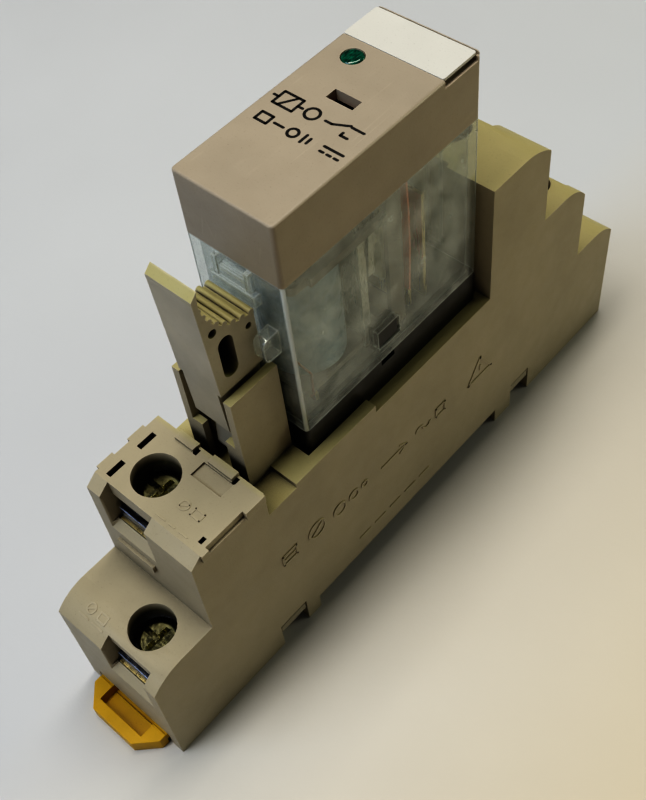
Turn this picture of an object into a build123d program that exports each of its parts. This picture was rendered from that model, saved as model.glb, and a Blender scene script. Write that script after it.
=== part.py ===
from build123d import *
import math
import os
from collections import namedtuple

# Plug-in control relay standing in its screw-terminal rail socket.
#
# Frame: millimetres. X runs across the narrow width, Y along the length, Z up.
# The origin is the centre of the face that rests on a 35 mm mounting rail.
# The end with two terminals, the release lever and the rail latch is at -Y;
# the end with three terminals is at +Y.

os.makedirs("parts", exist_ok=True)

# ---------------------------------------------------------------- driving sizes
# Rail
RAIL_WIDTH = 35.0
RAIL_HOOK_REACH = 1.1
RAIL_LIP_TOP = -1.2
SEAT_PAD_HALF = 16.0
SEAT_PAD_RISE = 0.3
FOOT_Z = -2.5

# Socket housing
HALF_WIDTH = 7.9
WALL = 1.2
END_WALL = 1.0
NEAR_END = -42.7
FAR_END = 42.7
NEAR_RISER = -33.5
NEAR_BACK = -22.8
NEAR_LOW_TOP = 16.0
NEAR_LOW_EDGE = 14.0
NEAR_HIGH_TOP = 29.8
NEAR_HIGH_EDGE = 28.7
DECK = 25.0
LEVER_FLOOR = 25.5
SIDE_LEDGE = 26.2
TOWER_FACE = 15.3
TOWER_BACK = 25.8
TOWER_TOP = 42.2
TOWER_EDGE = 40.4
FAR_MID_FACE = 34.5
FAR_MID_TOP = 29.5
FAR_MID_EDGE = 27.0
FAR_LOW_TOP = 16.2
FAR_LOW_EDGE = 14.3

# Crowns of the terminal tiers: where each one starts to round off
NEAR_LOW_CROWN = -38.2
NEAR_HIGH_CROWN = -32.0
TOWER_CROWN = 21.0
FAR_MID_CROWN = 30.0
FAR_LOW_CROWN = 38.5
LEVER_BAY_END = -18.5
LEDGE_END = -5.5

# Hollows in the housing: y0, y1, z0, z1
HOUSING_HOLLOWS = (
    (NEAR_END + WALL, FAR_END - WALL, FOOT_Z - 1, 7.4),
    (NEAR_RISER + WALL, FAR_MID_FACE - WALL, 7.0, 20.9),
    (-24.0, TOWER_BACK - WALL, 20.0, DECK - WALL),
    (TOWER_FACE + WALL, TOWER_BACK - WALL, 20.0, 33.6),
)
NC_STRIP_SLOT = (16.5, 18.2, 33.0)

# Snap windows of the rear cover, and its thickness
SNAP_WINDOWS = ((-25.0, -20.5), (21.0, 25.0))
SNAP_GAP = 0.1
COVER_TOP = 1.5
COVER_FAR_STEP = 24.5
GUIDE_Y = (-40.0, -20.0)
GUIDE_LIP_X = 5.2
GUIDE_LIP_TOP = -1.75
SPRING_PEG = (-1.5, 1.5, -35.6, -34.6)
CLIP_POST = 8.6

# Marks and tabs on the upper near tier
MARKER_TABS = ((-27.0, -24.7), (-31.4, -29.2))
MARKER_TAB_X = -8.3
MARKER_SLOT = (-6.8, -6.1)
COUPLING_TABS = ((-25.7, -22.9), (-32.0, -31.0))
COUPLING_TAB_X = 8.15
BACK_TABS = ((-4.2, -1.4), (0.8, 4.3))
BACK_TAB_RISE = 0.45
TIER_PITS = ((-1.2, -23.5), (4.55, -23.5), (6.8, -30.6))
LABEL_RECESS = (0.3, 4.7, -25.9, -23.9)
ENTRY_LIP = (-5.3, 0.4, 20.0, 21.1)

# Rail latch
LATCH_OUT = -46.3
LATCH_HALF_X = 5.75
LATCH_KEEL_HALF = 5.0
LATCH_ROOT = -43.0
LATCH_TIP = -RAIL_WIDTH / 2 + RAIL_HOOK_REACH
LATCH_TOP = -0.45
LATCH_SHOULDER = -1.55
LATCH_BOTTOM = -2.45
LATCH_WINDOW = (-36.0, -26.0)
LATCH_CORNER = 2.4
LOOP_HALF_X = 3.6
LOOP_Y = (-44.9, -42.3)
LOOP_FLOOR = -2.0
SPRING_FOLDS = 5
SPRING_SWAY = 2.4
SPRING_HALF = 0.35
SPRING_START = -34.1
SPRING_Z = -2.1
SPRING_HEIGHT = 1.2

# Screw terminals
WELL_RADIUS = 2.75
PLATE_DROP = 6.4
STRIP_THICK = 0.8
PLATE_THICK = 1.0
PLATE_HALF_X = 3.1
SHELF_THICK = 1.2
CLAMP_GAP = 0.1
CLAMP_THICK = 1.2
CLAMP_HALF_X = 2.8
CLAMP_BACK = 2.7
CLAMP_LIP = 1.0
CLAMP_LIP_THICK = 0.8
SCREW_PITCH = 0.5
SCREW_TURNS = 3
SCREW_RISE = SCREW_PITCH * SCREW_TURNS
HEAD_RADIUS = 2.4
HEAD_HEIGHT = 2.0
SHANK_RADIUS = 1.45
SHANK_LENGTH = 6.5
CHAMBER_HALF_X = 3.4
ENTRY_NOTCH = 1.5
ENTRY_WIDTH = 7.0
ENTRY_SILL = 0.9
THROAT = (6.0, 3.4)
SLOT_HALF = 0.35
SLOT_DEPTH = 0.9
CROSS_REACH = 1.6
CROSS_DEPTH = 1.2
FIT = 0.05
PAST = 1.0

# Plug-in relay
RELAY_X = 6.3
RELAY_Y = 14.5
BASE_Z = 25.05
CASE_Z = 29.7
CAP_Z = 52.14
TOP_Z = 60.0
CASE_WALL = 0.8
NECK_TOP = 57.0
CAP_WALL = 0.75
CAP_ROOF = 1.2

# Indicator and label
LENS_X = -3.1
LENS_Y = 6.8
LENS_RADIUS = 1.2
LENS_FLANGE = 1.8
LABEL_THICK = 0.35
LABEL_Y = (9.1, 14.15)
FLAG_WINDOW = (-1.3, 1.95, 0.9, 2.3)
FLAG_OPENING = (-1.7, 2.3, 0.3, 3.3)
BOARD = (-4.6, 4.6, -12.5, 9.5, 54.6, 55.4)
BOARD_OPENING = (-1.4, 2.0, 0.3, 3.0)

# Details of the case and the base's snap tongues
CASE_CORNER = 0.5
TONGUE_Y = (-2.3, 0.7)
LUG_WINDOW = (-2.5, 0.9, 31.8, 34.4)
GUIDE_LUG = (-16.7, 42.2, 45.4)
GUIDE_LUG_NOSE = 0.9
CATCH_SLOT = (50.9, 51.9)
GUIDE_RIB_HALF = 1.1
GUIDE_RIB_Z = (30.5, 48.0)

# Magnet system
COIL_Y = -7.3
CORE_RADIUS = 2.0
POLE_FACE = 49.9
YOKE_BACK = -1.5
YOKE_THICK = 1.1
YOKE_FOOT = 30.9
HINGE_Y = -1.6
HINGE_Z = 50.0
ARMATURE_SWING = 4.5
CARD_PUSH_Z = 44.5
CARD_HALF_X = 4.2
CARD_Y = (1.0, 1.8)
CARD_Z = (38.4, 49.2)
CARD_ARM_X = (2.2, 3.8)
CARD_BACK = 0.28
CARD_FRONT = 5.05
POLE_RADIUS = 3.5
POLE_THICK = 0.9
YOKE_HALF_X = 4.4
YOKE_FOOT_HALF_X = 2.7
ARMATURE_HALF_X = 4.3
ARMATURE_THICK = 1.0
ARMATURE_NOTCH = 1.6
HINGE_SPRING = ((-1.35, 33.0), (-1.35, 41.0), (0.72, 47.4), (0.72, 50.3))
CHEEK_X = (4.65, 5.2)
CHEEK_Y = (1.0, 3.3)
CHEEK_TOP = 50.8
SPRING_ROOT_Z = 33.5
SPRING_Y = 5.35
CONTACT_Z = 50.3
CONTACT_RADIUS = 1.4
MOVING_FACE_NC = 4.35
MOVING_FACE_NO = 5.85
NO_FACE = 6.62
NC_SEAT = 3.6
LEAF_HALF = 0.13
LEAF_BOW = 0.35
RIVET_RADIUS = 0.7
WINDING_RADIUS = 4.35
TAPE_RADIUS = 4.5
TERMINAL_FOOT = 31.0

# Release lever
PIVOT_Y = -18.6
PIVOT_Z = 28.6
POST_INNER = 3.12
POST_OUTER = 4.12
POST_NEAR = -21.6
POST_FAR = -15.0
POST_TOP = 40.2
POST_SHOULDER_TOP = 32.2
POST_SHOULDER_X = 1.7
PLATE_FOOT_Z = 33.6
PLATE_HALF = 2.95
PLATE_NECK_HALF = 2.45
STEM_HALF = 1.3
FOOT_RADIUS = 1.9
PIN_RADIUS = 1.2
PIN_HALF = 3.8
PLATE_TOP = ((-22.1, 55.0), (-21.2, 55.8))
REST_MIDDLE = (-19.87, 50.03)
REST_END = (-15.6, 48.1)
RIB_COUNT = 9
RIB_RADIUS = 0.36
RIB_CENTRE = (-15.2, 54.7)
RIB_ARC = 6.55
RIB_START = 181
RIB_STEP = 10.4
LEVER_WEB_HALF = 0.4
THUMB_SLOT = (-19.55, 45.2, 0.95, 2.8)
CORING_HOLES = ((-20.7, 49.6, 0.5), (-16.5, 46.8, 0.38))

Terminal = namedtuple("Terminal", "name x y top edge face out blade_x blade_y")
TERMINALS = [
    Terminal("coil_a", -2.5, -28.2, NEAR_HIGH_TOP, NEAR_HIGH_EDGE, NEAR_RISER, -1, -3.6, -11.0),
    Terminal("coil_b", 2.7, -37.6, NEAR_LOW_TOP, NEAR_LOW_EDGE, NEAR_END, -1, 3.6, -11.0),
    Terminal("nc", -2.5, 20.6, TOWER_TOP, TOWER_EDGE, TOWER_BACK, 1, -3.2, 11.3),
    Terminal("no", 2.5, 29.9, FAR_MID_TOP, FAR_MID_EDGE, FAR_MID_FACE, 1, 3.4, 7.5),
    Terminal("com", -2.5, 38.2, FAR_LOW_TOP, FAR_LOW_EDGE, FAR_END, 1, -3.4, 5.9),
]
BLADE_WIDTH = 2.4
BLADE_THICK = 0.5
BLADE_TIP = 17.0
BLADE_TOP = 32.0
JAW_WIDTH = 2.6
JAW_LEAF = 0.5
JAW_GAP = 0.3
JAW_BOTTOM = 14.4
JAW_TOP = 23.4


# ---------------------------------------------------------------- helpers
def block(x0, x1, y0, y1, z0, z1):
    """Rectangular block between two corners."""
    size = (x1 - x0, y1 - y0, z1 - z0)
    centre = ((x0 + x1) / 2, (y0 + y1) / 2, (z0 + z1) / 2)
    return Pos(*centre) * Box(*size)


def upright(x, y, z0, z1, radius):
    """Cylinder with its axis along Z."""
    return Pos(x, y, (z0 + z1) / 2) * Cylinder(radius, z1 - z0)


def crosswise(y, z, x0, x1, radius):
    """Cylinder with its axis along X."""
    return Pos((x0 + x1) / 2, y, z) * Rot(0, 90, 0) * Cylinder(radius, x1 - x0)


def lengthwise(x, z, y0, y1, radius):
    """Cylinder with its axis along Y."""
    return Pos(x, (y0 + y1) / 2, z) * Rot(90, 0, 0) * Cylinder(radius, y1 - y0)


def side_prism(edges, x0, x1):
    """Extrude a closed (y, z) outline along X."""
    face = make_face(edges)
    return extrude(Plane.YZ.offset(x0) * face, x1 - x0)


def side_polygon(points, x0, x1):
    """Extrude a closed (y, z) polygon along X."""
    return side_prism(Polyline(*points, close=True).edges(), x0, x1)


def ribbon(points, thick, x0, x1):
    """Sheet-metal strip along a (y, z) path, centred on the path."""
    path = Polyline(*points)
    face = offset(path, thick / 2, kind=Kind.INTERSECTION, side=Side.BOTH)
    return extrude(Plane.YZ.offset(x0) * make_face(face.edges()), x1 - x0)


def rounded_slot(x0, x1, y, z, half_y, half_z):
    """Upright slot with round ends, cut along X."""
    face = Plane.YZ.offset(x0) * Pos(y, z) * Rot(0, 0, 90) * SlotOverall(2 * half_z, 2 * half_y)
    return extrude(face, x1 - x0)


def plate_z(terminal):
    """Height of the top of the plate under the terminal's screw."""
    return terminal.top - PLATE_DROP


def span(a, b):
    """Two numbers in rising order."""
    return min(a, b), max(a, b)


# ---------------------------------------------------------------- socket housing
def housing_body():
    """Stepped outline of the socket, terminal tiers rising towards the relay."""
    near = Polyline((NEAR_END, FOOT_Z), (NEAR_END, NEAR_LOW_EDGE))
    near_crown = TangentArc((NEAR_LOW_CROWN, NEAR_LOW_TOP), (NEAR_END, NEAR_LOW_EDGE), tangent=(-1, 0))
    middle = Polyline(
        (NEAR_LOW_CROWN, NEAR_LOW_TOP),
        (NEAR_RISER, NEAR_LOW_TOP),
        (NEAR_RISER, NEAR_HIGH_EDGE),
        (NEAR_HIGH_CROWN, NEAR_HIGH_TOP),
        (NEAR_BACK, NEAR_HIGH_TOP),
        (NEAR_BACK, LEVER_FLOOR),
        (LEVER_BAY_END, LEVER_FLOOR),
        (LEVER_BAY_END, SIDE_LEDGE),
        (LEDGE_END, SIDE_LEDGE),
        (LEDGE_END, DECK),
        (TOWER_FACE, DECK),
        (TOWER_FACE, TOWER_TOP),
        (TOWER_CROWN, TOWER_TOP),
    )
    tower_crown = TangentArc((TOWER_CROWN, TOWER_TOP), (TOWER_BACK, TOWER_EDGE), tangent=(1, 0))
    step = Polyline((TOWER_BACK, TOWER_EDGE), (TOWER_BACK, FAR_MID_TOP), (FAR_MID_CROWN, FAR_MID_TOP))
    mid_crown = TangentArc((FAR_MID_CROWN, FAR_MID_TOP), (FAR_MID_FACE, FAR_MID_EDGE), tangent=(1, 0))
    low_step = Polyline(
        (FAR_MID_FACE, FAR_MID_EDGE), (FAR_MID_FACE, FAR_LOW_TOP), (FAR_LOW_CROWN, FAR_LOW_TOP)
    )
    far_crown = TangentArc((FAR_LOW_CROWN, FAR_LOW_TOP), (FAR_END, FAR_LOW_EDGE), tangent=(1, 0))
    bottom = Polyline((FAR_END, FAR_LOW_EDGE), (FAR_END, FOOT_Z), (NEAR_END, FOOT_Z))
    edges = []
    for run in (near, near_crown, middle, tower_crown, step, mid_crown, low_step, far_crown, bottom):
        edges.extend(run.edges())
    return side_prism(edges, -HALF_WIDTH, HALF_WIDTH)


def terminal_cavity(t):
    """Clamp chamber, screw well and flared wire entry of one terminal."""
    z_plate = plate_z(t)
    inner_face = t.face - t.out * END_WALL
    back = t.y - t.out * (CLAMP_BACK + 0.7)
    y0, y1 = span(inner_face, back)
    x0 = max(t.x - CHAMBER_HALF_X, -HALF_WIDTH + WALL)
    x1 = min(t.x + CHAMBER_HALF_X, HALF_WIDTH - WALL)
    roof = z_plate + CLAMP_GAP + CLAMP_THICK + SCREW_RISE + 0.3
    cavity = block(x0, x1, y0, y1, z_plate - PLATE_THICK, roof)
    lip0, lip1 = span(inner_face, inner_face - t.out * (CLAMP_LIP_THICK + 0.6))
    cavity += block(x0, x1, lip0, lip1, z_plate, roof + CLAMP_LIP + 0.1)
    # Notch that opens the entry through the tier's front edge.
    notch0, notch1 = span(t.face + t.out, t.face - t.out * ENTRY_NOTCH)
    cavity += block(x0, x1, notch0, notch1, z_plate, t.top + 1)
    cavity += upright(t.x, t.y, roof - 1, t.top + 1, WELL_RADIUS)
    cavity += upright(t.x, t.y, z_plate - PLATE_THICK - SHELF_THICK - 1, z_plate, SHANK_RADIUS + 0.6)
    lintel = t.edge - 0.5
    sill = z_plate - ENTRY_SILL
    wide = Rectangle(ENTRY_WIDTH, lintel - sill)
    slim = Rectangle(*THROAT)
    mouth = Plane(origin=(t.x, t.face + t.out * 0.01, 0), x_dir=(1, 0, 0), z_dir=(0, -1, 0))
    throat = Plane(origin=(t.x, inner_face - t.out * 0.01, 0), x_dir=(1, 0, 0), z_dir=(0, -1, 0))
    outer = mouth * Pos(0, (lintel + sill) / 2) * wide
    inner = throat * Pos(0, z_plate + THROAT[1] / 2) * slim
    return cavity + loft([outer, inner])


def strip_x(t):
    """Sides of a strip's narrow tail."""
    return t.blade_x - JAW_WIDTH / 2, t.blade_x + JAW_WIDTH / 2


def make_housing():
    inner_x = HALF_WIDTH - WALL
    body = housing_body()
    for hollow in HOUSING_HOLLOWS:
        body -= block(-inner_x, inner_x, *hollow)
    for t in TERMINALS:
        body -= terminal_cavity(t)
    # Openings through which the strips leave their chambers.
    for t in TERMINALS:
        x0, x1 = strip_x(t)
        z_plate = plate_z(t)
        slot0, slot1 = span(t.y - t.out * CLAMP_BACK, t.y - t.out * 6.2)
        if t.name == "nc":
            body -= block(x0 - 0.2, x1 + 0.2, *NC_STRIP_SLOT, z_plate)
        else:
            body -= block(x0 - 0.2, x1 + 0.2, slot0, slot1, z_plate - PLATE_THICK, z_plate + 0.3)
        # Slot in the deck for the relay's blade.
        body -= block(
            t.blade_x - BLADE_WIDTH / 2 - 0.4,
            t.blade_x + BLADE_WIDTH / 2 + 0.4,
            t.blade_y - 0.6,
            t.blade_y + 0.6,
            DECK - WALL - 1,
            DECK + 2,
        )
    # Relay bay between the side ledges, and the lever's well.
    bay = RELAY_X + 0.2
    body -= block(-bay, bay, POST_FAR, LEDGE_END, DECK, SIDE_LEDGE + 1)
    body -= block(-POST_OUTER, POST_OUTER, NEAR_BACK, POST_FAR, DECK, SIDE_LEDGE + 1)
    # Rail recess and the small windows that the rear cover snaps into.
    body -= block(-9, 9, -RAIL_WIDTH / 2 - 0.8, RAIL_WIDTH / 2 + 0.1, FOOT_Z - 1, 0)
    for y0, y1 in SNAP_WINDOWS:
        body -= block(-9, 9, y0, y1, FOOT_Z - 1, COVER_TOP + 0.5)
    # Way out of the near end for the rail latch.
    body -= block(-6.2, 6.2, NEAR_END - 1, NEAR_END + 2, FOOT_Z - 1, -0.1)
    # Lever posts with an inward shoulder on their lower front.
    for side in (-1, 1):
        x0, x1 = span(side * POST_INNER, side * POST_OUTER)
        body += block(x0, x1, POST_NEAR, POST_FAR, DECK - 0.5, POST_TOP)
        x0, x1 = span(side * POST_SHOULDER_X, side * POST_OUTER)
        body += block(x0, x1, POST_NEAR, POST_NEAR + 0.8, DECK - 0.5, POST_SHOULDER_TOP)
    body -= crosswise(PIVOT_Y, PIVOT_Z, -PIN_HALF - FIT, PIN_HALF + FIT, PIN_RADIUS + FIT)
    # Marker slots and coupling tabs on the upper near tier.
    top = NEAR_HIGH_TOP
    for y0, y1 in MARKER_TABS:
        body += block(MARKER_TAB_X, -HALF_WIDTH + 0.1, y0, y1, top - WALL, top)
        body -= block(*MARKER_SLOT, y0, y1, top - 1.0, top + 1)
    for y0, y1 in COUPLING_TABS:
        body += block(HALF_WIDTH - 0.1, COUPLING_TAB_X, y0, y1, top - WALL, top)
    body -= block(HALF_WIDTH - 0.3, 9, COUPLING_TABS[1][1], COUPLING_TABS[0][0], top - 1.0, top + 1)
    for x0, x1 in BACK_TABS:
        body += block(x0, x1, NEAR_BACK - 1, NEAR_BACK + 0.1, top - 1, top + BACK_TAB_RISE)
    for x, y in TIER_PITS:
        body -= block(x - 0.25, x + 0.25, y - 0.4, y + 0.4, top - 0.8, top + 1)
    # Label recess beside the right coupling tab.
    body -= block(*LABEL_RECESS, top - 0.3, top + 1)
    # Raised lip under the upper wire entry.
    x0, x1, z0, z1 = ENTRY_LIP
    body += block(x0, x1, NEAR_RISER - 0.4, NEAR_RISER + 0.5, z0, z1)
    # Groove in the tower for the relay's far guide rib.
    groove = GUIDE_RIB_HALF + 0.3
    body -= block(-groove, groove, TOWER_FACE - 1, TOWER_FACE + 0.6, DECK, TOWER_TOP + 1)
    return body


# ---------------------------------------------------------------- rear cover and latch
def make_rear_cover():
    """Closes the socket's underside and carries the rail seat and fixed hook."""
    half = HALF_WIDTH - WALL - 0.1
    inner = RAIL_WIDTH / 2
    cover = block(-half, half, -inner - 0.8, inner, SEAT_PAD_RISE, COVER_TOP)
    cover += block(-half, half, -SEAT_PAD_HALF, SEAT_PAD_HALF, 0, COVER_TOP)
    cover += block(-half, half, NEAR_END + WALL + 0.1, -inner - 0.8, -0.1, COVER_TOP)
    cover += block(-half, half, inner, COVER_FAR_STEP, FOOT_Z + 0.1, COVER_TOP)
    cover += block(-half, half, inner - RAIL_HOOK_REACH, inner + 0.5, FOOT_Z + 0.1, RAIL_LIP_TOP)
    cover += block(-half, half, COVER_FAR_STEP - 0.5, FAR_END - WALL - 0.1, FOOT_Z + 0.1, -1.0)
    # Guides that hold the latch up and let it slide.
    for side in (-1, 1):
        x0, x1 = span(side * (LATCH_HALF_X + 0.2), side * half)
        cover += block(x0, x1, *GUIDE_Y, FOOT_Z + 0.1, 0)
        x0, x1 = span(side * GUIDE_LIP_X, side * half)
        cover += block(x0, x1, *GUIDE_Y, FOOT_Z + 0.1, GUIDE_LIP_TOP)
    # Peg that the latch's spring pushes against.
    cover += block(*SPRING_PEG, LATCH_BOTTOM + 0.2, 0)
    # Snap tabs in the housing's windows.
    for side in (-1, 1):
        x0, x1 = span(side * (half - 0.4), side * (HALF_WIDTH - 0.1))
        for y0, y1 in SNAP_WINDOWS:
            cover += block(x0, x1, y0 + SNAP_GAP, y1 - SNAP_GAP, SEAT_PAD_RISE, COVER_TOP)
    # Posts under the relay clips; lower where a strip passes.
    for t in TERMINALS:
        height = JAW_BOTTOM - 0.1 if t.name in ("coil_a", "no") else CLIP_POST
        cover += block(t.blade_x - 1, t.blade_x + 1, t.blade_y - 1, t.blade_y + 1, 1, height)
    return cover


def make_rail_latch():
    """Spring-loaded slide with a pull loop outside and a rail hook inside."""
    half = LATCH_HALF_X
    keel = LATCH_KEEL_HALF
    bar = block(-half, half, LATCH_ROOT, LATCH_TIP, LATCH_SHOULDER, LATCH_TOP)
    bar += block(-keel, keel, LATCH_ROOT, LATCH_TIP, LATCH_BOTTOM, LATCH_TOP)
    bar -= block(-7, 7, -RAIL_WIDTH / 2 - 0.4, LATCH_TIP + 1, RAIL_LIP_TOP, 0)
    nose = side_polygon([(LATCH_TIP - 1.2, -3), (LATCH_TIP + 1, -3), (LATCH_TIP + 1, -1.2)], -7, 7)
    bar -= nose
    loop = block(-half, half, LATCH_OUT, LATCH_ROOT + 0.1, FOOT_Z, -0.3)
    loop = chamfer(loop.edges().filter_by(Axis.Z).group_by(Axis.Y)[0], LATCH_CORNER)
    latch = bar + loop
    latch -= block(-LOOP_HALF_X, LOOP_HALF_X, *LOOP_Y, LOOP_FLOOR, 1)
    latch -= block(-3.2, 3.2, *LATCH_WINDOW, -4, 1)
    return latch


def make_latch_spring():
    """Zigzag flexure between the cover's peg and the latch."""
    stop = LATCH_WINDOW[1] - 0.5
    step = (stop - SPRING_START) / SPRING_FOLDS
    points = [(0, SPRING_START)]
    for i in range(SPRING_FOLDS):
        points.append((SPRING_SWAY * (-1) ** i, SPRING_START + (i + 0.5) * step))
    points.append((0, stop))
    path = Polyline(*points)
    face = make_face(offset(path, SPRING_HALF, side=Side.BOTH).edges())
    return extrude(Plane.XY.offset(SPRING_Z) * face, SPRING_HEIGHT)


# ---------------------------------------------------------------- terminals
def relay_clip(t):
    """Folded clip that grips a relay blade between two leaves."""
    x0, x1 = strip_x(t)
    y0, y1 = t.blade_y - JAW_GAP - JAW_LEAF, t.blade_y + JAW_GAP + JAW_LEAF
    clip = block(x0, x1, y0, y1, JAW_BOTTOM, JAW_BOTTOM + 0.6)
    for side in (-1, 1):
        y0, y1 = span(t.blade_y + side * JAW_GAP, t.blade_y + side * (JAW_GAP + JAW_LEAF))
        clip += block(x0, x1, y0, y1, JAW_BOTTOM, JAW_TOP)
    return clip


def make_strip(t):
    """One stamped strip: screw plate, tail and relay clip."""
    x0, x1 = strip_x(t)
    z_plate = plate_z(t)
    front = t.face - t.out * (END_WALL + 0.1)
    back = t.y - t.out * (CLAMP_BACK + 0.6)
    y0, y1 = span(front, back)
    strip = block(t.x - PLATE_HALF_X, t.x + PLATE_HALF_X, y0, y1, z_plate - PLATE_THICK + 0.02, z_plate)
    lap = back + t.out * 0.5
    side = t.blade_y + t.out * (JAW_GAP + JAW_LEAF / 2)
    tail_top = z_plate
    if t.name == "nc":
        tail_top = 22.8
        drop0, drop1 = TOWER_FACE + WALL + 0.3, TOWER_FACE + WALL + 1.1
        strip += block(x0, x1, drop0, drop1, tail_top - STRIP_THICK, z_plate)
        y0, y1 = span(side, drop1)
    elif z_plate < JAW_BOTTOM:
        y0, y1 = span(t.blade_y - t.out * 0.3, lap)
        strip += block(x0, x1, t.blade_y - 0.3, t.blade_y + 0.3, z_plate - STRIP_THICK, JAW_BOTTOM + 0.2)
    else:
        y0, y1 = span(side, lap)
    strip += block(x0, x1, y0, y1, tail_top - STRIP_THICK, tail_top)
    strip += relay_clip(t)
    return strip - upright(t.x, t.y, z_plate - 3, z_plate + 1, SHANK_RADIUS + 0.1)


def make_clamp(t):
    """Pressure plate that the screw carries, with a turned-up front lip."""
    z0 = plate_z(t) + CLAMP_GAP
    front = t.face - t.out * (END_WALL + 0.3)
    y0, y1 = span(front, t.y - t.out * CLAMP_BACK)
    clamp = block(t.x - CLAMP_HALF_X, t.x + CLAMP_HALF_X, y0, y1, z0, z0 + CLAMP_THICK)
    lip0, lip1 = span(front, front - t.out * CLAMP_LIP_THICK)
    clamp += block(t.x - CLAMP_HALF_X, t.x + CLAMP_HALF_X, lip0, lip1, z0, z0 + CLAMP_THICK + CLAMP_LIP)
    return clamp - upright(t.x, t.y, z0 - 1, z0 + 3, SHANK_RADIUS + FIT)


def make_screw(t):
    """Pan-head terminal screw with a combined slot and cross."""
    z_head = plate_z(t) + CLAMP_GAP + CLAMP_THICK
    z_top = z_head + HEAD_HEIGHT
    head = upright(t.x, t.y, z_head + 0.01, z_top, HEAD_RADIUS)
    head = fillet(head.edges().group_by(Axis.Z)[-1], 0.5)
    shank = upright(t.x, t.y, z_head - SHANK_LENGTH, z_head + 0.2, SHANK_RADIUS)
    shank = chamfer(shank.edges().group_by(Axis.Z)[0], 0.4)
    screw = head + shank
    slot = SLOT_HALF
    screw -= block(t.x - 3, t.x + 3, t.y - slot, t.y + slot, z_top - SLOT_DEPTH, z_top + PAST)
    reach = CROSS_REACH
    screw -= block(t.x - slot, t.x + slot, t.y - reach, t.y + reach, z_top - CROSS_DEPTH, z_top + PAST)
    return screw


# ---------------------------------------------------------------- release lever
def lever_profile():
    """Side outline: thumb plate, hollow thumb rest, stem and round foot."""
    plate_top_out, plate_top_in = PLATE_TOP
    foot = FOOT_RADIUS
    outline = Polyline((-21.0, PLATE_FOOT_Z - 0.1), (-21.3, 34.3), plate_top_out, plate_top_in).edges()
    outline += ThreePointArc(plate_top_in, REST_MIDDLE, REST_END).edges()
    outline += Polyline(REST_END, (REST_END[0], 41.5), (PIVOT_Y + foot, PIVOT_Z)).edges()
    near, far = PIVOT_Y - foot, PIVOT_Y + foot
    outline += ThreePointArc((far, PIVOT_Z), (PIVOT_Y, PIVOT_Z - foot), (near, PIVOT_Z)).edges()
    outline += Polyline(
        (PIVOT_Y - foot, PIVOT_Z),
        (-20.0, PLATE_FOOT_Z - 0.1),
        (-21.0, PLATE_FOOT_Z - 0.1),
    ).edges()
    return outline


def make_lever():
    sections = (
        (PLATE_HALF, POST_TOP + 0.6, 60.0),
        (PLATE_NECK_HALF, PLATE_FOOT_Z, POST_TOP + 0.6),
        (STEM_HALF, 20.0, PLATE_FOOT_Z),
    )
    lever = None
    for half, z0, z1 in sections:
        part = side_prism(lever_profile(), -half, half) & block(-5, 5, -30, -10, z0, z1)
        lever = part if lever is None else lever + part
    lever += crosswise(PIVOT_Y, PIVOT_Z, -PIN_HALF, PIN_HALF, PIN_RADIUS)
    # Grip ribs follow the hollow of the thumb rest.
    for i in range(RIB_COUNT):
        angle = math.radians(RIB_START + RIB_STEP * i)
        y = RIB_CENTRE[0] + RIB_ARC * math.cos(angle)
        z = RIB_CENTRE[1] + RIB_ARC * math.sin(angle)
        lever += crosswise(y, z, -PLATE_HALF, PLATE_HALF, RIB_RADIUS)
    # Coring recesses in both flanks.
    for side in (-1, 1):
        x0, x1 = span(side * LEVER_WEB_HALF, side * 4)
        lever -= rounded_slot(x0, x1, *THUMB_SLOT)
        for y, z, radius in CORING_HOLES:
            lever -= crosswise(y, z, x0, x1, radius)
    return lever


# ---------------------------------------------------------------- relay shells
def make_relay_base():
    plug_x = RELAY_X - CASE_WALL - 0.1
    plug_y = RELAY_Y - CASE_WALL - 0.1
    base = block(-RELAY_X, RELAY_X, -RELAY_Y, RELAY_Y, BASE_Z, CASE_Z - 0.02)
    base = fillet(base.edges().filter_by(Axis.Z), CASE_CORNER)
    base += block(-plug_x, plug_x, -plug_y, plug_y, CASE_Z - 0.1, 30.8)
    base -= block(-plug_x + 1, plug_x - 1, -plug_y + 1, plug_y - 1, BASE_Z - 1, BASE_Z + 0.8)
    for t in TERMINALS:
        base -= blade_slot(t)
    # Snap tongues whose lugs show in the case's side windows.
    for side in (-1, 1):
        x0, x1 = span(side * 4.7, side * plug_x)
        base += block(x0, x1, *TONGUE_Y, 30.5, 34.6)
        x0, x1 = span(side * 4.9, side * (RELAY_X - 0.15))
        base += block(x0, x1, *TONGUE_Y, 32.0, 34.2)
        x0, x1 = span(side * 5.7, side * 7)
        base -= block(x0, x1, TONGUE_Y[0], -0.2, 28.9, 30.2)
    return base


def blade_slot(t):
    """Slot through which a blade leaves the base."""
    return block(
        t.blade_x - BLADE_WIDTH / 2 - FIT,
        t.blade_x + BLADE_WIDTH / 2 + FIT,
        t.blade_y - BLADE_THICK / 2 - FIT,
        t.blade_y + BLADE_THICK / 2 + FIT,
        BASE_Z - 1,
        BLADE_TOP,
    )


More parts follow.
